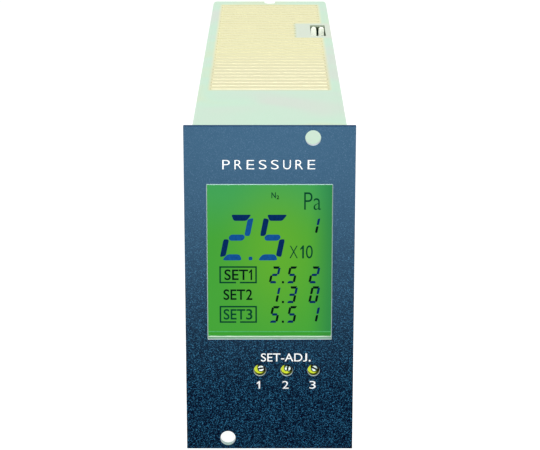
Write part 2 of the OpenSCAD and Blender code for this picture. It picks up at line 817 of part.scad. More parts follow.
// Parts soldered to the main board
module filter_capacitors() {
    groove = 0.6;
    groove_at = 4;
    r = capacitor_d / 2;
    color("#26466e") for (i = [0, 1])
        translate([board_x0, capacitor_y + i * capacitor_pitch, capacitor_z]) rotate([0, -90, 0])
            rotate_extrude() polygon([
                [0, 0], [r, 0], [r, groove_at - groove], [r - groove, groove_at], [r, groove_at + groove],
                [r, capacitor_l - groove], [r - groove, capacitor_l], [0, capacitor_l]
            ]);
}
module set_relay(i) {
    size = relay_size;
    z = (2 - i) * relay_pitch - size[2] / 2;
    color("#2b5fa3") translate([board_x0 - size[0], relay_y, z]) difference() {
        cube(size);
        for (side = [0, 1]) translate([0, size[1] / 2, side * size[2]]) rotate([0, 45, 0])
            cube([relay_edge, size[1] + 2 * cut, relay_edge], center = true);
    }
}
module heat_sink() {
    pitch = (sink_l - sink_t) / (sink_fins - 1);
    color("#8f9498") translate([board_x0 - sink_reach, sink_y, sink_z]) {
        cube([sink_t, sink_l, sink_h]);
        for (i = [0:sink_fins - 1]) translate([0, i * pitch, 0])
            cube([i == 0 || i == sink_fins - 1 ? sink_reach : fin_reach, sink_t, sink_h]);
    }
}
module regulator() {
    size = regulator_size;
    leg_l = sink_reach - fin_reach - size[0] / 2;
    color("#1f2123")
        translate([board_x0 - sink_reach + fin_reach, sink_y + sink_l / 2 - size[1] / 2, sink_z]) {
            cube([regulator_tab_t, size[1], sink_h]);
            cube(size);
            for (i = [-1, 0, 1])
                translate([size[0] / 2, size[1] / 2 + i * pin_pitch - pin_w / 2, 0])
                    cube([leg_l, pin_w, pin_w]);
        }
}
module processor() {
    size = chip_size;
    leg_l = size[0] / 2 + chip_lift;
    color("#1f2123") translate([board_x0 - chip_lift - size[0], chip_y, chip_z]) difference() {
        union() {
            cube(size);
            for (z = [0, size[2] - pin_w], i = [0:chip_pins - 1])
                translate([size[0] / 2, chip_pin_inset + i * pin_pitch, z]) cube([leg_l, pin_w, pin_w]);
        }
        translate([-cut, 0, size[2] / 2]) rotate([0, 90, 0]) cylinder(d = chip_notch_d, h = 2 * cut);
    }
}

// Plug of upright pins on a cross board, and the socket on the main board that takes them
module plug_pin_rows() {
    for (i = [0:plug_pins - 1]) translate([plug_x, 0, plug_z0 + (i + 1 / 2) * pin_pitch]) children();
}
module plug(y, dir) {
    color("#1f2123") translate([0, y, 0]) facing(dir) {
        slab([plug_x0, 0, plug_z0], [board_x0, plug_t, plug_z1]);
        plug_pin_rows() slab([-pin_w / 2, 0, -pin_w / 2], [pin_w / 2, plug_t + plug_pin_l, pin_w / 2]);
    }
}
module socket(y, dir) {
    reach = plug_t + socket_gap;
    hole = pin_w / 2 + fit;
    color("#1f2123") translate([0, y, 0]) facing(dir) difference() {
        slab([plug_x0, reach, plug_z0], [board_x0, reach + socket_l, plug_z1]);
        plug_pin_rows() slab([-hole, reach - cut, -hole], [hole, reach + plug_pin_l + fit, hole]);
    }
}
module facing(dir) {
    mirror([0, dir < 0 ? 1 : 0, 0]) children();
}

// Rear board and the connectors that reach out through the rear panel
module rear_board() {
    z = chassis_top - display_edge;
    color("#2f6b3c") difference() {
        slab([rear_board_x0, rear_board_y0, floor_z + display_edge], [board_x0, rear_board_y1, z]);
        at_sensor_pins() rod_y(sensor_pin_d + 4 * fit, rear_board_y0 - cut, rear_board_y1 + cut);
    }
}
module at_sensor_pins() {
    for (i = [0:sensor_pins_n - 1]) translate([left_column_x, 0, sensor_z])
        rotate([0, (i + 0.5) * 360 / sensor_pins_n, 0]) translate([0, 0, sensor_ring_d / 2]) children();
}
module sensor_shell() {
    color("#c4c7cb") translate([left_column_x, 0, sensor_z]) {
        difference() {
            union() {
                rod_y(sensor_d, rear_board_y1, case_d + sensor_nut_t);
                rod_y(sensor_d - 2 * sensor_step, case_d, case_d + sensor_out);
                rod_y(sensor_flange_d, rear_inside - sensor_flange_t, rear_inside);
            }
            rod_y(sensor_d - 2 * sensor_wall, rear_board_y1 - cut, case_d + sensor_out + cut);
        }
        key_z = sensor_d / 2 - sensor_wall;
        key_x = sensor_key_w / 2;
        slab([-key_x, case_d, key_z - sensor_key_h], [key_x, case_d + sensor_out, key_z + sensor_wall / 2]);
    }
}
module sensor_nut() {
    color("#c4c7cb") translate([left_column_x, 0, sensor_z]) difference() {
        hex_y(sensor_nut_d, case_d, case_d + sensor_nut_t);
        rod_y(sensor_d + 2 * fit, case_d - cut, case_d + sensor_nut_t + cut);
    }
}
module sensor_insert() {
    d = sensor_d - 2 * (sensor_wall + fit);
    color("#3a3126") difference() {
        translate([left_column_x, 0, sensor_z]) rod_y(d, rear_board_y1, case_d - fit);
        at_sensor_pins() rod_y(sensor_pin_d + 2 * fit, rear_board_y1 - cut, case_d + cut);
    }
}
module sensor_pins() {
    color("#d9b45a") at_sensor_pins()
        rod_y(sensor_pin_d, rear_board_y0 - pin_tail, case_d + sensor_pin_out);
}
module output_outline(grow) {
    w = output_w / 2 + grow;
    h = output_h / 2 + grow;
    lean = 2 * w * tan(output_lean);
    polygon([[-w, -h], [-w, h], [w, h - lean], [w, lean - h]]);
}
module output_shell() {
    flange_x = output_flange_w / 2;
    flange_z = output_flange_h / 2;
    color("#c4c7cb") difference() {
        translate([right_column_x, 0, 0]) difference() {
            union() {
                slab([-flange_x, output_y, -flange_z], [flange_x, rear_inside, flange_z]);
                along_y(rear_inside - cut, case_d + output_out) output_outline(0);
            }
            along_y(output_y - cut, case_d + output_out + cut) output_outline(-output_wall);
        }
        at_jacks() rod_y(jack_shank_d + 2 * fit, output_y - cut, rear_inside + cut);
    }
}
module output_insert() {
    x = output_w / 2;
    z = output_h / 2;
    mouth = case_d + output_out - fit;
    color("#1f2123") translate([right_column_x, 0, 0]) difference() {
        union() {
            slab([-x, rear_board_y1, -z], [x, output_y, z]);
            along_y(output_y - cut, mouth) output_outline(-output_wall - fit);
        }
        for (row = [0, 1], i = [0:output_row_holes[row] - 1]) {
            hole_x = (row - 1 / 2) * output_row_pitch;
            hole_z = (i - (output_row_holes[row] - 1) / 2) * output_hole_pitch;
            translate([hole_x, 0, hole_z]) rod_y(output_hole_d, mouth - output_hole_depth, mouth + cut);
        }
    }
}
module at_jacks() {
    for (z = [-jack_z, jack_z]) translate([right_column_x, 0, z]) children();
}
module output_jackposts() {
    color("#c9ccd0") at_jacks() difference() {
        union() {
            rod_y(jack_shank_d, output_y - nut_t, case_d + cut);
            hex_y(jack_hex_d, case_d, case_d + jack_l);
        }
        rod_y(jack_bore_d, case_d + cut, case_d + jack_l + cut);
    }
}

// Power terminals: a block with barriers between the clamp plates
module at_terminals() {
    for (i = [0:terminal_n - 1])
        translate([left_column_x, 0, terminal_z + (i - (terminal_n - 1) / 2) * terminal_pitch]) children();
}
module terminal_block() {
    x = terminal_w / 2;
    half = (terminal_pitch - terminal_wall) / 2;
    plate_y = case_d + terminal_floor;
    color("#1f2123") difference() {
        translate([left_column_x, 0, terminal_z])
            slab([-x, rear_board_y1, -terminal_h / 2], [x, case_d + terminal_out, terminal_h / 2]);
        at_terminals() {
            slab([-x - cut, plate_y, -half], [x - terminal_wall, case_d + terminal_out + cut, half]);
            rod_y(terminal_screw_d + 2 * fit, case_d, plate_y + cut);
        }
    }
}
module terminal_plates() {
    half = (terminal_pitch - terminal_wall) / 2 - fit;
    x = terminal_w / 2 - fit;
    y0 = case_d + terminal_floor;
    y1 = y0 + terminal_plate_t;
    color("#c9ccd0") at_terminals() difference() {
        slab([-x, y0, -half], [x - terminal_wall, y1, half]);
        rod_y(terminal_screw_d + 2 * fit, y0 - cut, y1 + cut);
    }
}
module terminal_screws() {
    head_y = case_d + terminal_floor + terminal_plate_t;
    top_y = head_y + terminal_head_t;
    slot_y = head_y + terminal_head_t / 2;
    color("#d8d4c8") at_terminals() difference() {
        union() {
            rod_y(terminal_screw_d, case_d + fit, head_y);
            rod_y(terminal_head_d, head_y, top_y);
        }
        slab([-terminal_head_d, slot_y, -screw_slot], [terminal_head_d, top_y + cut, screw_slot]);
    }
}

front_panel();
panel_studs();
lcd_frame();
lcd_polariser();
lcd_glass();
backlight();
contact_strips();
display_board();
display_standoffs();
display_screws();
set_trimmer(1);  // set_trimmer_1
set_trimmer(2);  // set_trimmer_2
set_trimmer(3);  // set_trimmer_3
trimmer_base(1);  // trimmer_base_1
trimmer_base(2);  // trimmer_base_2
trimmer_base(3);  // trimmer_base_3
set_rotor(1);  // set_rotor_1
set_rotor(2);  // set_rotor_2
set_rotor(3);  // set_rotor_3
plug(display_rear, 1);  // display_plug
socket(display_rear, 1);  // display_socket
chassis();
top_cover();
cover_screws();
rear_panel();
rear_screws();
clinch_nuts();
main_board();
board_spacers();
board_screws();
board_nuts();
selector_base();
selector_frame();
selector_lever(-1);  // selector_lever_1
selector_lever(1);  // selector_lever_2
transformer_core();
transformer_coil();
transformer_strap();
transformer_screws();
filter_capacitors();
set_relay(1);  // set_relay_1
set_relay(2);  // set_relay_2
set_relay(3);  // set_relay_3
heat_sink();
regulator();
processor();
rear_board();
plug(rear_board_y0, -1);  // rear_plug
socket(rear_board_y0, -1);  // rear_socket
sensor_shell();
sensor_nut();
sensor_insert();
sensor_pins();
output_shell();
output_insert();
output_jackposts();
terminal_block();
terminal_plates();
terminal_screws();
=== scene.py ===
import json
import math

import bmesh
import bpy
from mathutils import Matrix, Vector


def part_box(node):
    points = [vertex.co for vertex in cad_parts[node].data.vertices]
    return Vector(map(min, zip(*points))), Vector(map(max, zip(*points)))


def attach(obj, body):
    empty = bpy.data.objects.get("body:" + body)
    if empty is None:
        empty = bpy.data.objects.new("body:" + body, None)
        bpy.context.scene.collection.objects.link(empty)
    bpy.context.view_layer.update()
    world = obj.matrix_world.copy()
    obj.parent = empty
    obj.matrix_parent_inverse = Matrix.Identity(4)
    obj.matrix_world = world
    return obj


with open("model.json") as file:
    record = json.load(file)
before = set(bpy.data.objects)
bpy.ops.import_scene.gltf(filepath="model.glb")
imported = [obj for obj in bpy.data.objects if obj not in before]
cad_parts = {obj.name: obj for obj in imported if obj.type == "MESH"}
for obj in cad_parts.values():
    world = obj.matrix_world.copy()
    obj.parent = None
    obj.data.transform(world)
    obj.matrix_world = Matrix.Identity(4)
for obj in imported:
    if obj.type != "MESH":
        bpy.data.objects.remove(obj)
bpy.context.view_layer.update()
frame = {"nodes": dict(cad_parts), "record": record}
nodes = frame["nodes"]
scene = bpy.context.scene
scene.view_settings.view_transform = "Standard"

MM = 0.001
BODY = "gauge"

# Places that the pieces and finishes are worked out from
panel_low, panel_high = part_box("front_panel")
film_low, film_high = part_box("lcd_polariser")
ring_low, ring_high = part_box("sensor_nut")
outlet_low, outlet_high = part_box("output_insert")
rotor_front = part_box("set_rotor_1")[0].y
barrel_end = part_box("sensor_shell")[1].y

# Settings that many nodes share
COLOURS = {"data_type": "RGBA"}
SMOOTH = {"interpolation_type": "SMOOTHSTEP"}
PRODUCT = {"operation": "MULTIPLY"}
LARGER = {"operation": "MAXIMUM"}


def linear(colour, gain=1):
    """An sRGB hex colour as the linear RGBA that a shader takes, made lighter or darker by a gain."""
    parts = [int(colour[i:i + 2], 16) / 255 for i in (1, 3, 5)]
    return [gain * (c / 12.92 if c <= 0.04045 else ((c + 0.055) / 1.055) ** 2.4) for c in parts] + [1]


def add(tree, kind, settings=None, inputs=None):
    """A new node with its settings; an input takes either a value or another node's output."""
    node = tree.nodes.new(kind)
    for name, value in (settings or {}).items():
        setattr(node, name, value)
    for name, value in (inputs or {}).items():
        if isinstance(value, bpy.types.NodeSocket):
            tree.links.new(value, node.inputs[name])
        else:
            node.inputs[name].default_value = value
    return node


def finish(name, **fixed):
    """A material with its tree, its shader with the fixed values set, and the piece's own coordinates."""
    material = bpy.data.materials.new(name)
    material.use_nodes = True
    tree = material.node_tree
    shader = tree.nodes["Principled BSDF"]
    for socket, value in fixed.items():
        shader.inputs[socket.replace("_", " ")].default_value = value
    return material, tree, shader, add(tree, "ShaderNodeTexCoord").outputs["Object"]


def feed(tree, shader, **sources):
    """Links each output to the shader's socket of the same name."""
    for socket, source in sources.items():
        tree.links.new(source, shader.inputs[socket.replace("_", " ")])


def facing_axes(tree):
    """The x, y and z parts of the direction that a face looks in."""
    facing = add(tree, "ShaderNodeTexCoord").outputs["Normal"]
    return add(tree, "ShaderNodeSeparateXYZ", inputs={0: facing}).outputs


# Finishes of the front

GRIT_MM = 0.16
GRIT_BUMP_MM = 0.05
SPECK_RARITY = 7
PAINTED_LIGHT_FOOT_MM = -36
PAINTED_LIGHT_HEAD_MM = 43
OUTER_EDGE_SHARE = 0.985
ACCESS_ROW_MM = -23.8
ACCESS_REACH_MM = 2
PAINTED_SHADE_FROM_MM = 0.3
PAINTED_SHADE_TO_MM = 0.8


def sand_textured_paint():
    """Baked sand-grain enamel on an aluminium plate, cut through after painting.

    Its face is a dry slate blue, grainy at the foot and smoother at the head. It is painted darker towards
    the foot and paler towards the head, as painted light that falls off downwards. The outer edges are an
    even, darker blue. Hole walls are bare metal, painted near black as shade on their undersides and deep in
    the small access holes. The grit is drawn coarser than it is, so that it shows."""
    material, tree, shader, place = finish("sand_textured_paint", IOR=1.45, Specular_IOR_Level=0.06)
    grit = add(tree, "ShaderNodeTexVoronoi", inputs={"Vector": place, "Scale": 1 / (GRIT_MM * MM)})
    shade = add(tree, "ShaderNodeSeparateColor", inputs={0: grit.outputs["Color"]})
    speck = add(tree, "ShaderNodeMath", {"operation": "POWER"}, {0: shade.outputs[0], 1: SPECK_RARITY})
    axes = add(tree, "ShaderNodeSeparateXYZ", inputs={0: place})
    # Painted light: the face is painted darker towards the foot and paler towards the head, and its grain
    # fades towards the head
    painted_light_and_grain_fade = add(tree, "ShaderNodeMapRange", SMOOTH, {
        "Value": axes.outputs["Z"], "From Min": PAINTED_LIGHT_FOOT_MM * MM, "From Max": PAINTED_LIGHT_HEAD_MM * MM})
    hollow = add(tree, "ShaderNodeMix", COLOURS, {
        0: painted_light_and_grain_fade.outputs[0], 6: linear("#00031b"), 7: linear("#3d607c")})
    crest = add(tree, "ShaderNodeMix", COLOURS, {
        0: painted_light_and_grain_fade.outputs[0], 6: linear("#4091c0"), 7: linear("#567691")})
    grainy = add(tree, "ShaderNodeMix", COLOURS, {
        0: speck.outputs[0], 6: hollow.outputs[2], 7: crest.outputs[2]})

    facing = facing_axes(tree)
    cut = add(tree, "ShaderNodeMapRange", inputs={"Value": facing["Y"], "From Min": -0.95, "From Max": -0.9})
    share = add(tree, "ShaderNodeVectorMath", {"operation": "DIVIDE"}, {
        0: place, 1: (panel_high.x, 1, panel_high.z)})
    spread = add(tree, "ShaderNodeVectorMath", {"operation": "ABSOLUTE"}, {0: share.outputs[0]})
    sides = add(tree, "ShaderNodeSeparateXYZ", inputs={0: spread.outputs[0]})
    outward = add(tree, "ShaderNodeMath", LARGER, {0: sides.outputs["X"], 1: sides.outputs["Z"]})
    inner = add(tree, "ShaderNodeMath", {"operation": "LESS_THAN"}, {
        0: outward.outputs[0], 1: OUTER_EDGE_SHARE})
    bare = add(tree, "ShaderNodeMath", PRODUCT, {0: cut.outputs[0], 1: inner.outputs[0]})
    edge = add(tree, "ShaderNodeMath", {"operation": "SUBTRACT"}, {0: cut.outputs[0], 1: bare.outputs[0]})

    # Painted shade: wall faces that look down, and the deep part of the access holes' walls, are painted
    # near black
    under = add(tree, "ShaderNodeMapRange", inputs={
        "Value": facing["Z"], "From Min": -0.5, "From Max": -0.1, "To Min": 1, "To Max": 0})
    access = add(tree, "ShaderNodeMath", {"operation": "COMPARE"}, {
        0: axes.outputs["Z"], 1: ACCESS_ROW_MM * MM, 2: ACCESS_REACH_MM * MM})
    deep = add(tree, "ShaderNodeMapRange", inputs={
        "Value": axes.outputs["Y"],
        "From Min": panel_low.y + PAINTED_SHADE_FROM_MM * MM, "From Max": panel_low.y + PAINTED_SHADE_TO_MM * MM})
    painted_hole_shade = add(tree, "ShaderNodeMath", {"operation": "MULTIPLY_ADD", "use_clamp": True}, {
        0: access.outputs[0], 1: deep.outputs[0], 2: under.outputs[0]})
    wall = add(tree, "ShaderNodeMix", COLOURS, {
        0: painted_hole_shade.outputs[0], 6: linear("#bccacf"), 7: linear("#040a0e")})

    painted = add(tree, "ShaderNodeMix", COLOURS, {
        0: edge.outputs[0], 6: grainy.outputs[2], 7: linear("#1c3a56")})
    colour = add(tree, "ShaderNodeMix", COLOURS, {
        0: bare.outputs[0], 6: painted.outputs[2], 7: wall.outputs[2]})
    metal = add(tree, "ShaderNodeMapRange", inputs={"Value": bare.outputs[0], "To Max": 0.6})
    rough = add(tree, "ShaderNodeMapRange", inputs={
        "Value": bare.outputs[0], "To Min": 0.75, "To Max": 0.3})
    bump = add(tree, "ShaderNodeBump", {"invert": True}, {
        "Height": grit.outputs["Distance"], "Distance": GRIT_BUMP_MM * MM, "Strength": 0.25})
    feed(tree, shader, Base_Color=colour.outputs[2], Metallic=metal.outputs[0], Roughness=rough.outputs[0],
         Normal=bump.outputs[0])
    return material


# The light behind the display: how far right of the film's middle it is brightest, in half widths, and
# what a half height counts against a half width
GLOW_RIGHT = 0.12
GLOW_TALL = 0.75


def lit_display(name, lower, upper, middle, right_side):
    """Lit display behind its film: yellow-green light in the middle, greener to the top and dimmer to the
    right."""
    material, tree, shader, place = finish(
        name, Roughness=0.4, Specular_IOR_Level=0.05, Emission_Strength=1.0, Base_Color=linear("#081206"))
    centre = (film_low + film_high) / 2
    half = (film_high - film_low) / 2
    centred = add(tree, "ShaderNodeMapping", inputs={
        "Vector": place, "Location": (-centre.x / half.x - GLOW_RIGHT, 0, -centre.z / half.z * GLOW_TALL),
        "Scale": (1 / half.x, 0, GLOW_TALL / half.z)})
    side = add(tree, "ShaderNodeSeparateXYZ", inputs={0: centred.outputs[0]})
    up = add(tree, "ShaderNodeMapRange", SMOOTH, {
        "Value": side.outputs["Z"], "From Min": 0.1, "From Max": 0.7})
    field = add(tree, "ShaderNodeMix", COLOURS, {0: up.outputs[0], 6: linear(lower), 7: linear(upper)})
    away = add(tree, "ShaderNodeVectorMath", {"operation": "LENGTH"}, {0: centred.outputs[0]})
    near = add(tree, "ShaderNodeMapRange", SMOOTH, {
        "Value": away.outputs["Value"], "From Min": 0.0, "From Max": 1.0, "To Min": 1, "To Max": 0})
    glow = add(tree, "ShaderNodeMix", COLOURS, {
        0: near.outputs[0], 6: field.outputs[2], 7: linear(middle)})
    right = add(tree, "ShaderNodeMapRange", SMOOTH, {
        "Value": side.outputs["X"], "From Min": 0.42, "From Max": 0.85, "To Max": 0.75})
    shaded = add(tree, "ShaderNodeMix", COLOURS, {
        0: right.outputs[0], 6: glow.outputs[2], 7: linear(right_side)})
    feed(tree, shader, Emission_Color=shaded.outputs[2])
    return material


CLOUD_MM = 0.6


def display_mark(name, colour):
    """Switched segment of a display: a flat dark stain with a faint cloudiness, lit from behind."""
    material, tree, shader, place = finish(
        name, Roughness=0.4, Specular_IOR_Level=0.0, Emission_Strength=1.0, Base_Color=linear("#020304"))
    cloud = add(tree, "ShaderNodeTexNoise", inputs={"Vector": place, "Scale": 1 / (CLOUD_MM * MM)})
    stain = add(tree, "ShaderNodeMix", COLOURS, {
        0: cloud.outputs["Fac"], 6: linear(colour, 0.6), 7: linear(colour, 1.4)})
    feed(tree, shader, Emission_Color=stain.outputs[2])
    return material


LIP_WHITE_MM = 0.5
LIP_PAINTED_GREEN_MM = 0.65


def lit_lip():
    """White ABS frame of the lit display, given a painted glow. Its lip next to the glass is painted dim
    green, as the display's light and the shade of the gap; in front it is white.
    """
    # Painted glow over the whole frame; the lip next to the glass is painted green as the display's light
    # and shade
    material, tree, shader, place = finish(
        "white_abs_lip_painted_glow", IOR=1.5, Roughness=0.45, Emission_Strength=0.3)
    axes = add(tree, "ShaderNodeSeparateXYZ", inputs={0: place})
    near = add(tree, "ShaderNodeMapRange", inputs={
        "Value": axes.outputs["Y"], "From Min": LIP_WHITE_MM * MM, "From Max": LIP_PAINTED_GREEN_MM * MM})
    lip = add(tree, "ShaderNodeMix", COLOURS, {
        0: near.outputs[0], 6: linear("#eef0ec"), 7: linear("#3a8a44")})
    feed(tree, shader, Base_Color=lip.outputs[2], Emission_Color=lip.outputs[2])
    return material


# Finishes of the trimmers

TRIMMER_PITCH_MM = 7.7
PAINTED_LIGHT_FIRST_MM = -2.8
PAINTED_LIGHT_SPOT_MM = (-3.25, -24.6)
PAINTED_LIGHT_REACH_MM = 1.75
ROTOR_FIRST_MM = -2.5
RIM_FROM_MM = 0.8
RIM_TO_MM = 0.86
SLOT_CLEAN_MM = 0.05
SLOT_BLACK_MM = 0.2
HIGHLIGHT_PATCH_MM = 0.9


def off_centre(tree, axes, first_mm, centre_mm):
    """How far a point lies, seen from the front, from a centre that repeats at each trimmer of the row."""
    along = add(tree, "ShaderNodeMath", {"operation": "WRAP"}, {
        0: axes.outputs["X"],
        1: (first_mm + TRIMMER_PITCH_MM / 2) * MM, 2: (first_mm - TRIMMER_PITCH_MM / 2) * MM})
    spot = add(tree, "ShaderNodeCombineXYZ", inputs={"X": along.outputs[0], "Z": axes.outputs["Z"]})
    away = add(tree, "ShaderNodeVectorMath", {"operation": "DISTANCE"}, {
        0: spot.outputs[0], 1: (centre_mm[0] * MM, 0, centre_mm[1] * MM)})
    return away.outputs["Value"]


def lime_trimmer():
    """Lime plastic down the access holes with a painted glow: a painted pool of light to the lower left, and
    black painted shade above.
    """
    material, tree, shader, place = finish(
        "lime_trimmer_plastic", IOR=1.5, Roughness=0.3, Emission_Strength=0.7)
    axes = add(tree, "ShaderNodeSeparateXYZ", inputs={0: place})
    # Painted light and shade: bright in a spot to the lower left of each hole, black round it
    shade = add(tree, "ShaderNodeMapRange", SMOOTH, {
        "Value": off_centre(tree, axes, PAINTED_LIGHT_FIRST_MM, PAINTED_LIGHT_SPOT_MM),
        "From Min": 0.7 * PAINTED_LIGHT_REACH_MM * MM, "From Max": PAINTED_LIGHT_REACH_MM * MM})
    colour = add(tree, "ShaderNodeMix", COLOURS, {
        0: shade.outputs[0], 6: linear("#dcee3c"), 7: linear("#0a1204")})
    feed(tree, shader, Base_Color=colour.outputs[2], Emission_Color=colour.outputs[2])
    return material


def worn_rotor():
    """Nickel-plated brass rotor with painted light and shade: bright patches at random are painted
    highlights, and its rim and its slot are painted black as shade."""
    material, tree, shader, place = finish("rotor_brass_painted_light", Metallic=1.0, Roughness=0.3)
    axes = add(tree, "ShaderNodeSeparateXYZ", inputs={0: place})
    # Painted shade: a black ring round each rotor's rim, and black down its slot
    rim = add(tree, "ShaderNodeMapRange", inputs={
        "Value": off_centre(tree, axes, ROTOR_FIRST_MM, (ROTOR_FIRST_MM, ACCESS_ROW_MM)),
        "From Min": RIM_FROM_MM * MM, "From Max": RIM_TO_MM * MM})
    slot_painted_shade = add(tree, "ShaderNodeMapRange", inputs={
        "Value": axes.outputs["Y"],
        "From Min": rotor_front + SLOT_CLEAN_MM * MM, "From Max": rotor_front + SLOT_BLACK_MM * MM})
    rotor_painted_shade = add(tree, "ShaderNodeMath", LARGER, {0: rim.outputs[0], 1: slot_painted_shade.outputs[0]})
    # Painted highlights: bright patches where a noise runs high
    highlight_noise = add(tree, "ShaderNodeTexNoise", inputs={"Vector": place, "Scale": 1 / (HIGHLIGHT_PATCH_MM * MM), "Detail": 0})
    bright = add(tree, "ShaderNodeMapRange", SMOOTH, {
        "Value": highlight_noise.outputs["Fac"], "From Min": 0.46, "From Max": 0.68})
    painted_highlight_patches = add(tree, "ShaderNodeMix", COLOURS, {
        0: bright.outputs[0], 6: linear("#a6c4bc"), 7: linear("#f4fcfa")})
    colour = add(tree, "ShaderNodeMix", COLOURS, {
        0: rotor_painted_shade.outputs[0], 6: painted_highlight_patches.outputs[2], 7: linear("#020606")})
    feed(tree, shader, Base_Color=colour.outputs[2])
    return material


# Finishes of the case and of what is in it

SLOT_FIRST_MM = 75
SLOT_LAST_MM = 240
SLOT_REACH_MM = 19.4
SLOT_ENDS_FADE_MM = 2
SIDE_FADE_MM = 0.8
TOP_SHEET_MM = 40
PATCH_LEFT_MM = 9.4
PATCH_RIGHT_MM = 30
PATCH_FRONT_MM = 167
PATCH_REAR_MM = 196.5
STAIN_MM = 34
STAIN_SHIFT_MM = (-20, 0, 0)
CALM_FROM_MM = 100
CALM_TO_MM = 150
ROLLED_GRAIN_MM = 0.5
ROLLED_STRETCH = 0.05


def between(tree, value, first, last, fade):
    """One inside two limits in millimetres, and none outside them, with a soft edge."""
    rise = add(tree, "ShaderNodeMapRange", SMOOTH, {
        "Value": value, "From Min": (first - fade) * MM, "From Max": (first + fade) * MM})
    fall = add(tree, "ShaderNodeMapRange", SMOOTH, {
        "Value": value, "From Min": (last - fade) * MM, "From Max": (last + fade) * MM,
        "To Min": 1, "To Max": 0})
    return add(tree, "ShaderNodeMath", PRODUCT, {0: rise.outputs[0], 1: fall.outputs[0]}).outputs[0]


def chromated_zinc():
    """Zinc-plated steel sheet under a thin chromate film.

    It is pale mint with drifts of blush and straw. Among the slots the film is straw yellow, paler towards
    the rear. The slots' front walls are matt and pale, given a painted glow, and painted lighter towards the
    front, where the front light falls."""
    material, tree, shader, place = finish("chromated_zinc", Emission_Strength=0.22)
    shifted = add(tree, "ShaderNodeMapping", inputs={
        "Vector": place, "Location": [shift * MM for shift in STAIN_SHIFT_MM]})
    drift = add(tree, "ShaderNodeTexNoise", inputs={
        "Vector": shifted.outputs[0], "Scale": 1 / (STAIN_MM * MM), "Detail": 1, "Distortion": 0.4})
    blush = add(tree, "ShaderNodeMapRange", SMOOTH, {
        "Value": drift.outputs["Fac"], "From Min": 0.42, "From Max": 0.72, "To Max": 0.6})
    mint = add(tree, "ShaderNodeMix", COLOURS, {
        0: blush.outputs[0], 6: linear("#cbecd4"), 7: linear("#dcded6")})
    yellowed = add(tree, "ShaderNodeMapRange", SMOOTH, {
        "Value": drift.outputs["Fac"], "From Min": 0.32, "From Max": 0.46, "To Min": 0.6, "To Max": 0})
    drifted = add(tree, "ShaderNodeMix", COLOURS, {
        0: yellowed.outputs[0], 6: mint.outputs[2], 7: linear("#dce8c0")})

    axes = add(tree, "ShaderNodeSeparateXYZ", inputs={0: place})
    across = add(tree, "ShaderNodeMath", {"operation": "ABSOLUTE"}, {0: axes.outputs["X"]})
    top = add(tree, "ShaderNodeMath", {"operation": "GREATER_THAN"}, {
        0: axes.outputs["Z"], 1: TOP_SHEET_MM * MM})
    # The first limit lies below every absolute value, so that only the second counts
    top_middle = add(tree, "ShaderNodeMath", PRODUCT, {
        0: between(tree, across.outputs[0], -1, SLOT_REACH_MM, SIDE_FADE_MM), 1: top.outputs[0]})
    field = add(tree, "ShaderNodeMath", PRODUCT, {
        0: top_middle.outputs[0],
        1: between(tree, axes.outputs["Y"], SLOT_FIRST_MM, SLOT_LAST_MM, SLOT_ENDS_FADE_MM)})
    top_right = add(tree, "ShaderNodeMath", PRODUCT, {
        0: between(tree, axes.outputs["X"], PATCH_LEFT_MM, PATCH_RIGHT_MM, SIDE_FADE_MM), 1: top.outputs[0]})
    patch = add(tree, "ShaderNodeMath", PRODUCT, {
        0: top_right.outputs[0],
        1: between(tree, axes.outputs["Y"], PATCH_FRONT_MM, PATCH_REAR_MM, SIDE_FADE_MM)})
    slotted = add(tree, "ShaderNodeMath", {"operation": "SUBTRACT", "use_clamp": True}, {
        0: field.outputs[0], 1: patch.outputs[0]})

    stained = add(tree, "ShaderNodeMix", COLOURS, {
        0: patch.outputs[0], 6: drifted.outputs[2], 7: linear("#dae6d4")})
    rearward = add(tree, "ShaderNodeMapRange", SMOOTH, {
        "Value": axes.outputs["Y"], "From Min": CALM_FROM_MM * MM, "From Max": CALM_TO_MM * MM})
    straw = add(tree, "ShaderNodeMix", COLOURS, {
        0: rearward.outputs[0], 6: linear("#e6e2b4"), 7: linear("#efebb8")})
    sheet = add(tree, "ShaderNodeMix", COLOURS, {
        0: slotted.outputs[0], 6: stained.outputs[2], 7: straw.outputs[2]})
    front = add(tree, "ShaderNodeMapRange", inputs={
        "Value": facing_axes(tree)["Y"], "From Min": -0.9, "From Max": -0.8, "To Min": 1, "To Max": 0})
    wall = add(tree, "ShaderNodeMath", PRODUCT, {0: front.outputs[0], 1: slotted.outputs[0]})
    # Painted light: the slots' front walls are painted lighter towards the front and glow with that colour
    edge = add(tree, "ShaderNodeMix", COLOURS, {
        0: rearward.outputs[0], 6: linear("#f7f1cf"), 7: linear("#e9e5b8")})
    colour = add(tree, "ShaderNodeMix", COLOURS, {
        0: wall.outputs[0], 6: sheet.outputs[2], 7: edge.outputs[2]})

    rolled = add(tree, "ShaderNodeMapping", inputs={"Vector": place, "Scale": (1, ROLLED_STRETCH, 1)})
    grain = add(tree, "ShaderNodeTexNoise", inputs={
        "Vector": rolled.outputs[0], "Scale": 1 / (ROLLED_GRAIN_MM * MM), "Detail": 2})
    satin = add(tree, "ShaderNodeMapRange", inputs={
        "Value": grain.outputs["Fac"], "To Min": 0.36, "To Max": 0.44})
    rough = add(tree, "ShaderNodeMix", inputs={0: wall.outputs[0], 2: satin.outputs[0], 3: 0.95})
    painted_wall_glow = add(tree, "ShaderNodeMix", COLOURS, {
        0: wall.outputs[0], 6: linear("#000000"), 7: edge.outputs[2]})
    metal = add(tree, "ShaderNodeMapRange", inputs={"Value": wall.outputs[0], "To Min": 1, "To Max": 0})
    feed(tree, shader, Base_Color=colour.outputs[2], Emission_Color=painted_wall_glow.outputs[2],
         Metallic=metal.outputs[0], Roughness=rough.outputs[0])
    return material


SATIN_MM = 0.4
TARNISH_MM = 6


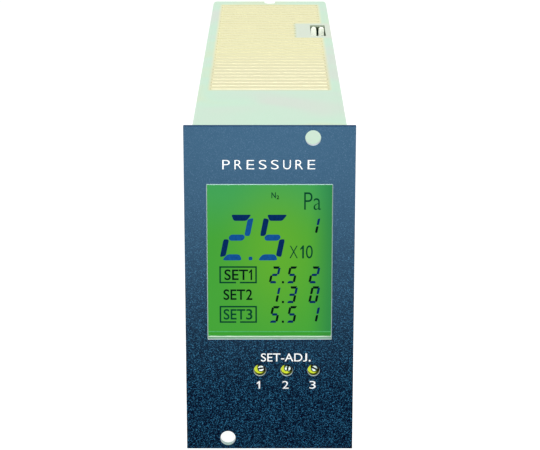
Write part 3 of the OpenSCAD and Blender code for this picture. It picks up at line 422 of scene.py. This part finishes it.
def plated(name, colour, rough=0.3):
    """Plated metal, turned or pressed: bright, with a fine satin that varies a little."""
    material, tree, shader, place = finish(name, Metallic=1.0)
    satin = add(tree, "ShaderNodeTexNoise", inputs={
        "Vector": place, "Scale": 1 / (SATIN_MM * MM), "Detail": 2})
    polish = add(tree, "ShaderNodeMapRange", inputs={
        "Value": satin.outputs["Fac"], "To Min": rough - 0.08, "To Max": rough + 0.08})
    tarnish = add(tree, "ShaderNodeTexNoise", inputs={"Vector": place, "Scale": 1 / (TARNISH_MM * MM)})
    metal = add(tree, "ShaderNodeMix", COLOURS, {
        0: tarnish.outputs["Fac"], 6: linear(colour), 7: linear(colour, 0.82)})
    feed(tree, shader, Base_Color=metal.outputs[2], Roughness=polish.outputs[0])
    return material


SPARK_MM = 0.25
SPARK_BUMP_MM = 0.01
INK_SPARK_MM = 0.4
FLOW_MM = 5


def moulded(name, colour, rough=0.45, spark_mm=SPARK_MM, glow=0.0):
    """Moulded plastic, rubber or thick ink: an even colour with a fine grain that softens its gloss.

    The glow is painted light: a part that is no lamp gives out light of its own colour."""
    material, tree, shader, place = finish(
        name, IOR=1.5, Emission_Color=linear(colour), Emission_Strength=glow)
    spark = add(tree, "ShaderNodeTexNoise", inputs={
        "Vector": place, "Scale": 1 / (spark_mm * MM), "Detail": 2})
    gloss = add(tree, "ShaderNodeMapRange", inputs={
        "Value": spark.outputs["Fac"], "To Min": rough - 0.1, "To Max": rough + 0.1})
    flow = add(tree, "ShaderNodeTexNoise", inputs={"Vector": place, "Scale": 1 / (FLOW_MM * MM)})
    body = add(tree, "ShaderNodeMix", COLOURS, {
        0: flow.outputs["Fac"], 6: linear(colour), 7: linear(colour, 0.88)})
    bump = add(tree, "ShaderNodeBump", inputs={
        "Height": spark.outputs["Fac"], "Distance": SPARK_BUMP_MM * MM, "Strength": 0.4})
    feed(tree, shader, Base_Color=body.outputs[2], Roughness=gloss.outputs[0], Normal=bump.outputs[0])
    return material


paint = sand_textured_paint()
film = lit_display("lit_display_film", "#43a236", "#40a256", "#5eac2c", "#247c4a")
sheet = chromated_zinc()
nickel = plated("nickel_plated_steel", "#d4d6d6")
rotor_brass = worn_rotor()
gold = plated("gold_plated_brass", "#e0b860", 0.25)
alloy = plated("extruded_aluminium", "#c9cccf", 0.4)
core = plated("varnished_core_steel", "#5d5f63", 0.5)
white = moulded("white_abs", "#eef0ec", 0.4)
black = moulded("black_pbt", "#1b1c1e", 0.45)
# The levers' glow is painted light
lever_white = moulded("white_acetal", "#f8fdee", 0.4, glow=0.25)
switch_body = moulded("grey_green_polyamide", "#9db3a0", 0.5)
lime = lime_trimmer()
# The ink's glow is painted light
ink = moulded("white_screen_ink", "#fafcfc", 0.6, INK_SPARK_MM, glow=0.15)
board = moulded("green_solder_mask", "#1f6b38", 0.3)
guide = moulded("milky_light_guide", "#dff09a", 0.4)
rubber = moulded("layered_contact_rubber", "#3a3b3d", 0.7)
tape = moulded("amber_coil_tape", "#c89432", 0.3)
sleeve = moulded("blue_capacitor_sleeve", "#1d3a66", 0.25)
relay = moulded("blue_relay_case", "#2357a0", 0.35)
phenolic = moulded("brown_phenolic", "#38291d", 0.5)
glass = lit_display("lit_display_glass", "#3c9c30", "#379a50", "#3c9c30", "#34863e")
navy = display_mark("dark_segment", "#062a5c")
blue = display_mark("half_dark_segment", "#125090")
black_mark = display_mark("black_mark", "#031a14")
green_mark = display_mark("dark_green_mark", "#06452c")
# A lighter line at the film's lower edge: a painted highlight
lower_film_highlight = display_mark("lower_film_painted_highlight", "#58b870")
# A painted highlight along the top edge of the panel's window
bright_edge = moulded("window_edge_painted_highlight", "#b4dcd6", 0.4)

slot_finish = {
    "panel_paint": paint, "plated_steel": sheet, "bright_metal": nickel, "white_plastic": white,
    "black_plastic": black, "trimmer_yellow": lime, "rotor_metal": rotor_brass, "display_film": film,
    "display_glass": glass, "light_guide": guide, "contact_rubber": rubber, "board": board,
    "core_steel": core, "coil_tape": tape, "capacitor_sleeve": sleeve, "relay_blue": relay,
    "aluminium": alloy, "insulator": phenolic, "pin_gold": gold,
}
for part in frame["record"]["subparts"]:
    mesh = nodes[part["node"]].data
    mesh.materials.clear()
    mesh.materials.append(slot_finish[part["material_slot"]])

# Nodes whose finish differs from the rest of their slot
own_finish = {
    "lcd_frame": lit_lip(), "selector_lever_1": lever_white, "selector_lever_2": lever_white,
    "selector_base": switch_body, "selector_frame": switch_body,
}
for name, material in own_finish.items():
    nodes[name].data.materials[0] = material


# Shapes that the marks are made of

INK_MM = 0.03
MERGE_MM = 0.0001
# Depth of a word in the font's own units, before it is fitted to the ink's
FONT_DEPTH = 0.05
SLANT = 0.2
SEGMENT_ROUND = 0.3
FOOT_ROUND = 0.45
SEGMENTS = {"0": "abcdef", "1": "bc", "2": "abged", "3": "abgcd", "5": "afgcd"}
HALF_DARK = "bgd"


def placed(name, data):
    """A new object in the scene."""
    made = bpy.data.objects.new(name, data)
    scene.collection.objects.link(made)
    return made


def piece(name, mesh, material):
    """A finished mesh as a piece that rides on the gauge."""
    mesh.materials.clear()
    mesh.materials.append(material)
    made = placed(name, mesh)
    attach(made, BODY)


def plain_mesh(holder):
    """What an object shows, as a mesh; the object itself is taken away."""
    mesh = bpy.data.meshes.new_from_object(holder.evaluated_get(bpy.context.evaluated_depsgraph_get()))
    bpy.data.objects.remove(holder)
    return mesh


def closed_mesh(name, bm):
    """The mesh of finished marks, with its doubled corners joined and its faces turned outwards."""
    bmesh.ops.remove_doubles(bm, verts=bm.verts, dist=MERGE_MM * MM)
    bmesh.ops.recalc_face_normals(bm, faces=bm.faces)
    mesh = bpy.data.meshes.new(name)
    bm.to_mesh(mesh)
    bm.free()
    return mesh


def oblong(left, right, low, high):
    """Outline of a rectangle."""
    return [(left, low), (right, low), (right, high), (left, high)]


def softened(outline, reach):
    """The same outline with each corner cut round, over the given reach along both its sides."""
    corners = [Vector(p) for p in outline]
    soft = []
    for i, corner in enumerate(corners):
        before = corner + (corners[i - 1] - corner).normalized() * reach
        after = corner + (corners[(i + 1) % len(corners)] - corner).normalized() * reach
        soft += [before, (before + 2 * corner + after) / 4, after]
    return soft


def plate(bm, outline, front):
    """A thin upright plate: an outline in x and z, in millimetres, that stands out of y = front."""
    near = [bm.verts.new((x * MM, front - INK_MM * MM, z * MM)) for x, z in outline]
    far = [bm.verts.new((x * MM, front, z * MM)) for x, z in outline]
    count = len(outline)
    bm.faces.new(near)
    bm.faces.new(far[::-1])
    for i in range(count):
        j = (i + 1) % count
        bm.faces.new((near[j], near[i], far[i], far[j]))


def letters(bm, text, left, right, low, high, front, bolder=0.0):
    """A word fitted between two sides and two heights, in millimetres, that stands out of y = front."""
    curve = bpy.data.curves.new("word", "FONT")
    curve.body = text
    curve.extrude = FONT_DEPTH
    curve.offset = bolder
    mesh = plain_mesh(placed("word", curve))
    spans = [(min(v.co[i] for v in mesh.vertices), max(v.co[i] for v in mesh.vertices)) for i in range(3)]
    for v in mesh.vertices:
        across, up, out = [(v.co[i] - first) / (last - first) for i, (first, last) in enumerate(spans)]
        v.co = Vector((left + across * (right - left), -out * INK_MM, low + up * (high - low))) * MM
        v.co.y += front
    bm.from_mesh(mesh)
    bpy.data.meshes.remove(mesh)


def numeral_one(bm, right, low, high, stroke, front):
    """The figure 1 with its flag, as wide as its stroke and flag together."""
    left = right - stroke
    tip = left - stroke * 1.1
    shoulder = high - (high - low) * 0.25
    plate(bm, [
        (left, low), (right, low), (right, high), (left + stroke * 0.3, high),
        (tip, shoulder), (tip, shoulder - stroke * 0.9), (left, shoulder)], front)


def segment(name, wide, tall, bar, post):
    """Outline of one of a digit's seven segments, in shares of the digit's size, before it is slanted."""
    middle = tall / 2
    corner = wide * 0.11
    mitre = wide * 0.25
    end_bar = [(corner, tall), (mitre, tall - bar), (wide - mitre, tall - bar), (wide - corner, tall)]
    upright = [
        (wide, tall * 0.93), (wide - post, tall * 0.9), (wide - post, middle + tall * 0.045),
        (wide - post / 3, middle + tall * 0.03), (wide, middle + tall * 0.05)]
    mid_bar = [
        (wide * 0.17, middle), (mitre, middle - bar / 2), (wide - mitre, middle - bar / 2),
        (wide * 0.83, middle), (wide - mitre, middle + bar / 2), (mitre, middle + bar / 2)]
    shape = {"a": end_bar, "d": end_bar, "g": mid_bar}.get(name, upright)
    flip_x = name in "ef"
    flip_z = name in "cde"
    outline = [(wide - x if flip_x else x, tall - z if flip_z else z) for x, z in shape]
    if flip_x != flip_z:
        outline.reverse()
    return softened(outline, post * (FOOT_ROUND if name == "d" else SEGMENT_ROUND))


def digit(dark, half_dark, figure, left, low, wide, tall, bar, post):
    """A slanted figure of the display; its segments go to the dark or to the half-dark mesh."""
    for name in SEGMENTS[figure]:
        outline = [(left + x + SLANT * z, low + z) for x, z in segment(name, wide, tall, bar, post)]
        plate(half_dark if name in HALF_DARK else dark, outline, film_low.y)


def bar_mark(bm, left, right, low, high):
    """A plain bar on the display."""
    plate(bm, oblong(left, right, low, high), film_low.y)


# Marks on the display, in millimetres

mark_finish = {
    "display_segments_dark": (navy, "display_film"),
    "display_segments_half_dark": (blue, "display_film"),
    "lower_film_painted_highlight": (lower_film_highlight, "display_film"),
    "display_words_dark": (black_mark, "display_film"),
    "display_words_green": (green_mark, "display_film"),
    "window_bright_edge": (bright_edge, "bright_metal"),
    "panel_printing": (ink, "white_plastic"),
}
marks = {name: bmesh.new() for name in mark_finish}
dark, half_dark, film_line, words, green_words, window_line, printing = marks.values()

LARGE = {"wide": 7.3, "tall": 13.5, "bar": 1.8, "post": 1.6}
SMALL = {"wide": 2.5, "tall": 5.05, "bar": 0.7, "post": 0.66}
LARGE_LOW = 8.15
LARGE_LEFT = (-14.35, -4.2)
POINT = oblong(left=-6.0, right=-4.9, low=8.2, high=9.25)
POINT_ROUND = 0.35
POWER_LEFT = 10.9
POWER_LOW = 15.9
ROW_LOW = (1.3, -4.65, -10.6)
ROW_LEFT = (-0.3, 4.65, 11.0)
ROW_FIGURES = ("252", "130", "551")
ROW_POINT_LEFT = 3.5
ROW_POINT_RIGHT = 4.1
ROW_POINT_TALL = 0.65
FILM_LINE = 0.22

for figure, left in zip("25", LARGE_LEFT):
    digit(dark, half_dark, figure, left, LARGE_LOW, **LARGE)
digit(words, dark, "1", POWER_LEFT, POWER_LOW, **SMALL)
plate(half_dark, softened(POINT, POINT_ROUND), film_low.y)
for figures, low in zip(ROW_FIGURES, ROW_LOW):
    for figure, left in zip(figures, ROW_LEFT):
        digit(words, dark, figure, left, low, **SMALL)
    bar_mark(words, ROW_POINT_LEFT, ROW_POINT_RIGHT, low, low + ROW_POINT_TALL)
# A lighter bar painted along the film's lower edge: a painted highlight
bar_mark(film_line, film_low.x / MM, film_high.x / MM, film_low.z / MM, film_low.z / MM + FILM_LINE)

BOX_LEFT = -14.35
BOX_RIGHT = -3.65
BOX_HIGH = 5.1
BOX_LINE = 0.45
BREAK_LEFT = -9.6
BREAK_RIGHT = -8.5


def word_box(bm, low):
    """The frame round a set-point's word, with a break in its foot."""
    top = low + BOX_HIGH
    bar_mark(bm, BOX_LEFT, BOX_RIGHT, top - BOX_LINE, top)
    bar_mark(bm, BOX_LEFT, BREAK_LEFT, low, low + BOX_LINE)
    bar_mark(bm, BREAK_RIGHT, BOX_RIGHT, low, low + BOX_LINE)
    bar_mark(bm, BOX_LEFT, BOX_LEFT + BOX_LINE, low + BOX_LINE, top - BOX_LINE)
    bar_mark(bm, BOX_RIGHT - BOX_LINE, BOX_RIGHT, low + BOX_LINE, top - BOX_LINE)


WORD_LOW = 0.95
WORD_HIGH = 4.15
WORD_BOLDER = 0.012
WORD_SIDES = ((-12.9, -6.15), (-13.2, -7.0), (-13.2, -7.0))
NUMERAL_LEFT = -6.75
NUMERAL_RIGHT = -4.95
ONE_RIGHT = -5.0
ONE_STROKE = 0.45

for row, (low, (left, right)) in enumerate(zip(ROW_LOW, WORD_SIDES), 1):
    word = green_words if row == 3 else words
    foot = low + WORD_LOW
    head = low + WORD_HIGH
    letters(word, "SET", left, right, foot, head, film_low.y, WORD_BOLDER)
    if row == 1:
        numeral_one(word, ONE_RIGHT, foot, head, ONE_STROKE, film_low.y)
    else:
        letters(word, str(row), NUMERAL_LEFT, NUMERAL_RIGHT, foot, head, film_low.y, WORD_BOLDER)
    if row != 2:
        word_box(green_words, low)

UNIT_SIDES = (9.75, 14.55)
UNIT_HEIGHTS = (23.05, 28.2)
GAS_SIDES = (0.5, 1.75)
GAS_HEIGHTS = (26.5, 28.2)
GAS_INDEX_SIDES = (1.95, 2.65)
GAS_INDEX_HEIGHTS = (26.2, 27.3)
TIMES_SIDES = (5.65, 8.0)
TIMES_HEIGHTS = (8.8, 12.5)
TEN_HEIGHTS = (8.75, 12.6)
TEN_ONE_RIGHT = 9.75
TEN_ONE_STROKE = 0.5
TEN_NOUGHT_SIDES = (10.3, 12.25)
SMALL_BOLDER = 0.02
LARGE_BOLDER = -0.01

letters(green_words, "Pa", *UNIT_SIDES, *UNIT_HEIGHTS, film_low.y, LARGE_BOLDER)
letters(green_words, "N", *GAS_SIDES, *GAS_HEIGHTS, film_low.y, SMALL_BOLDER)
letters(words, "2", *GAS_INDEX_SIDES, *GAS_INDEX_HEIGHTS, film_low.y, SMALL_BOLDER)
letters(green_words, "X", *TIMES_SIDES, *TIMES_HEIGHTS, film_low.y, LARGE_BOLDER)
numeral_one(green_words, TEN_ONE_RIGHT, *TEN_HEIGHTS, TEN_ONE_STROKE, film_low.y)
letters(green_words, "0", *TEN_NOUGHT_SIDES, *TEN_HEIGHTS, film_low.y)


# Printing on the panel and a painted highlight along the top edge of its window, in millimetres

LABEL_SIDES = {"SET-AD": (-2.5, 9.4), "J": (9.55, 10.75)}
LABEL_HEIGHTS = (-21.15, -18.65)
LABEL_BOLDER = 0.004
LABEL_STOP = oblong(left=11.25, right=11.75, low=-21.15, high=-20.65)
HOLE_HEIGHTS = (-29.45, -27.1)
HOLE_ONE_RIGHT = -2.75
HOLE_ONE_STROKE = 0.45
HOLE_CENTRES = {"2": 4.55, "3": 12.35}
HOLE_NUMERAL_HALF = 0.9
TITLE_LEFT = -13.2
TITLE_PITCH = 3.4
TITLE_WIDE = 2.1
TITLE_HEIGHTS = (35.8, 38.45)
WINDOW_EDGE = oblong(left=-17.6, right=17.6, low=31.3, high=31.53)

for text, sides in LABEL_SIDES.items():
    letters(printing, text, *sides, *LABEL_HEIGHTS, panel_low.y, LABEL_BOLDER)
plate(printing, LABEL_STOP, panel_low.y)
numeral_one(printing, HOLE_ONE_RIGHT, *HOLE_HEIGHTS, HOLE_ONE_STROKE, panel_low.y)
for text, centre in HOLE_CENTRES.items():
    sides = (centre - HOLE_NUMERAL_HALF, centre + HOLE_NUMERAL_HALF)
    letters(printing, text, *sides, *HOLE_HEIGHTS, panel_low.y)
for place, text in enumerate("PRESSURE"):
    left = TITLE_LEFT + TITLE_PITCH * place
    letters(printing, text, left, left + TITLE_WIDE, *TITLE_HEIGHTS, panel_low.y, LARGE_BOLDER)
# Painted highlight along the top edge of the window
plate(window_line, WINDOW_EDGE, panel_low.y)

for name, (material, slot) in mark_finish.items():
    piece(name, closed_mesh(name, marks[name]), material)


# Turned and pressed rings that repeat

RING_CORNERS = 48
RIDGE_CORNERS = 6


def ring_tree():
    """Geometry Nodes tree that sets equal rings, whose axis is y, along a straight line."""
    tree = bpy.data.node_groups.new("rings_on_a_line", "GeometryNodeTree")
    kinds = {"Start": "Vector", "Step": "Vector", "Count": "Int", "Radius": "Float", "Ridge": "Float",
             "Finish": "Material"}
    names = {}
    for name, kind in kinds.items():
        socket = tree.interface.new_socket(name, in_out="INPUT", socket_type="NodeSocket" + kind)
        names[name] = socket.identifier
    tree.interface.new_socket("Rings", in_out="OUTPUT", socket_type="NodeSocketGeometry")
    given = add(tree, "NodeGroupInput").outputs
    line = add(tree, "GeometryNodeMeshLine", {"mode": "OFFSET"}, {
        "Count": given["Count"], "Start Location": given["Start"], "Offset": given["Step"]})
    circle = add(tree, "GeometryNodeCurvePrimitiveCircle", inputs={
        "Resolution": RING_CORNERS, "Radius": given["Radius"]})
    crest = add(tree, "GeometryNodeCurvePrimitiveCircle", inputs={
        "Resolution": RIDGE_CORNERS, "Radius": given["Ridge"]})
    ring = add(tree, "GeometryNodeCurveToMesh", inputs={
        "Curve": circle.outputs[0], "Profile Curve": crest.outputs[0]})
    turned = add(tree, "GeometryNodeTransform", inputs={
        "Geometry": ring.outputs[0], "Rotation": (math.pi / 2, 0, 0)})
    many = add(tree, "GeometryNodeInstanceOnPoints", inputs={
        "Points": line.outputs[0], "Instance": turned.outputs[0]})
    solid = add(tree, "GeometryNodeRealizeInstances", inputs={0: many.outputs[0]})
    clad = add(tree, "GeometryNodeSetMaterial", inputs={
        "Geometry": solid.outputs[0], "Material": given["Finish"]})
    add(tree, "NodeGroupOutput", inputs={0: clad.outputs[0]})
    return tree, names


rings, ring_inputs = ring_tree()


def row_of_rings(name, material, slot, **values):
    """Rings on a line, worked out by the tree and kept as a plain mesh."""
    holder = placed("rings", bpy.data.meshes.new("rings"))
    modifier = holder.modifiers.new("rings", "NODES")
    modifier.node_group = rings
    for key, value in dict(values, Finish=material).items():
        modifier[ring_inputs[key]] = value
    piece(name, plain_mesh(holder), material)


THREAD_PITCH_MM = 1.0
THREAD_RADIUS_MM = 7.45
THREAD_RIDGE_MM = 0.16
free_mm = (barrel_end - ring_high.y) / MM
barrel_axis = (ring_low + ring_high) / 2
row_of_rings(
    "sensor_barrel_thread", nickel, "bright_metal",
    Start=(barrel_axis.x, ring_high.y + THREAD_PITCH_MM * MM, barrel_axis.z),
    Step=(0, THREAD_PITCH_MM * MM, 0), Count=int(free_mm / THREAD_PITCH_MM) - 1,
    Radius=THREAD_RADIUS_MM * MM, Ridge=THREAD_RIDGE_MM * MM)

CONTACT_PITCH_MM = 2.74
CONTACT_ROW_MM = 2.84
CONTACT_RADIUS_MM = 0.5
CONTACT_RIM_MM = 0.12
CONTACT_COUNTS = (8, 7)
outlet_x = (outlet_low.x + outlet_high.x) / 2
for row, count in enumerate(CONTACT_COUNTS):
    row_of_rings(
        f"output_contacts_{row + 1}", gold, "pin_gold",
        Start=(outlet_x + (row - 0.5) * CONTACT_ROW_MM * MM, outlet_high.y - CONTACT_RIM_MM * MM,
               -(count - 1) / 2 * CONTACT_PITCH_MM * MM),
        Step=(0, 0, CONTACT_PITCH_MM * MM), Count=count,
        Radius=CONTACT_RADIUS_MM * MM, Ridge=CONTACT_RIM_MM * MM)


# Floor, light and camera

PAPER_GLOW = 1.28
PAPER_SHARE = 0.7
SKY_LIGHT = 0.12
FLOOR_HALF_M = 6


def seen(tree):
    """One for rays that the eye sees, also mirrored or through glass, and none for those that only light."""
    rays = add(tree, "ShaderNodeLightPath").outputs
    straight = add(tree, "ShaderNodeMath", LARGER, {0: rays["Is Camera Ray"], 1: rays["Is Glossy Ray"]})
    return add(tree, "ShaderNodeMath", LARGER, {
        0: straight.outputs[0], 1: rays["Is Transmission Ray"]}).outputs[0]


def pale_floor():
    """Plain matt floor that reads as white paper to the eye and keeps a soft shadow."""
    material = bpy.data.materials.new("pale_floor")
    material.use_nodes = True
    tree = material.node_tree
    tree.nodes.clear()
    matt = add(tree, "ShaderNodeBsdfDiffuse", inputs={"Color": linear("#707070")})
    pale = add(tree, "ShaderNodeBsdfDiffuse", inputs={"Color": linear("#f0f0f0")})
    paper = add(tree, "ShaderNodeEmission", inputs={"Strength": PAPER_GLOW})
    white_paper = add(tree, "ShaderNodeMixShader", inputs={
        0: PAPER_SHARE, 1: pale.outputs[0], 2: paper.outputs[0]})
    both = add(tree, "ShaderNodeMixShader", inputs={
        0: seen(tree), 1: matt.outputs[0], 2: white_paper.outputs[0]})
    add(tree, "ShaderNodeOutputMaterial", inputs={"Surface": both.outputs[0]})
    return material


def white_studio():
    """World that is plain white to the eye and gives only a faint light of its own."""
    world = bpy.data.worlds.new("studio")
    world.use_nodes = True
    tree = world.node_tree
    tree.nodes.clear()
    soft = add(tree, "ShaderNodeBackground", inputs={"Color": linear("#eef2f6"), "Strength": SKY_LIGHT})
    blank = add(tree, "ShaderNodeBackground", inputs={"Color": linear("#ffffff"), "Strength": 1.0})
    both = add(tree, "ShaderNodeMixShader", inputs={
        0: seen(tree), 1: soft.outputs[0], 2: blank.outputs[0]})
    add(tree, "ShaderNodeOutputWorld", inputs={"Surface": both.outputs[0]})
    return world


floor_mesh = bpy.data.meshes.new("floor")
corners = oblong(-FLOOR_HALF_M, FLOOR_HALF_M, -FLOOR_HALF_M, FLOOR_HALF_M)
floor_mesh.from_pydata([(x, y, panel_low.z) for x, y in corners], [], [(0, 1, 2, 3)])
floor_mesh.materials.append(pale_floor())
floor = placed("floor", floor_mesh)
scene.world = white_studio()


def lamp(name, kind, place, target, watts, **settings):
    """A lamp that shines from one place towards another and isn't seen itself, nor mirrored in the metal."""
    data = bpy.data.lights.new(name, kind)
    data.energy = watts
    for setting, value in settings.items():
        setattr(data, setting, value)
    made = placed(name, data)
    made.location = place
    made.rotation_euler = (Vector(target) - Vector(place)).to_track_quat("-Z", "Y").to_euler()
    made.visible_camera = False
    made.visible_glossy = False


lamp("front_softbox", "AREA", place=(0.01, -0.13, 0.17), target=(0, 0, 0.05), watts=0.02,
     size=0.08, spread=math.radians(50))
lamp("fill_softbox", "AREA", place=(0.3, -1.0, 0.75), target=(0, 0, 0), watts=16.0,
     shape="RECTANGLE", size=1.6, size_y=1.0)
lamp("overhead_softbox", "AREA", place=(0, 0.13, 0.62), target=(0, 0.13, 0.04), watts=2.0, size=0.6)
lamp("overhead_sun", "SUN", place=(0, 0, 1), target=(0, 0, 0), watts=0.8, angle=math.radians(40))

SENSOR_MM = 36
LENS_MM = 126.67
TILT_DEG = 16
CAMERA_MM = (0.1, -515.6, 166.9)
camera_data = bpy.data.cameras.new("camera")
camera_data.sensor_width = SENSOR_MM
camera_data.lens = LENS_MM
camera = placed("camera", camera_data)
camera.location = [place * MM for place in CAMERA_MM]
camera.rotation_euler = (math.radians(90 - TILT_DEG), 0, 0)
scene.camera = camera
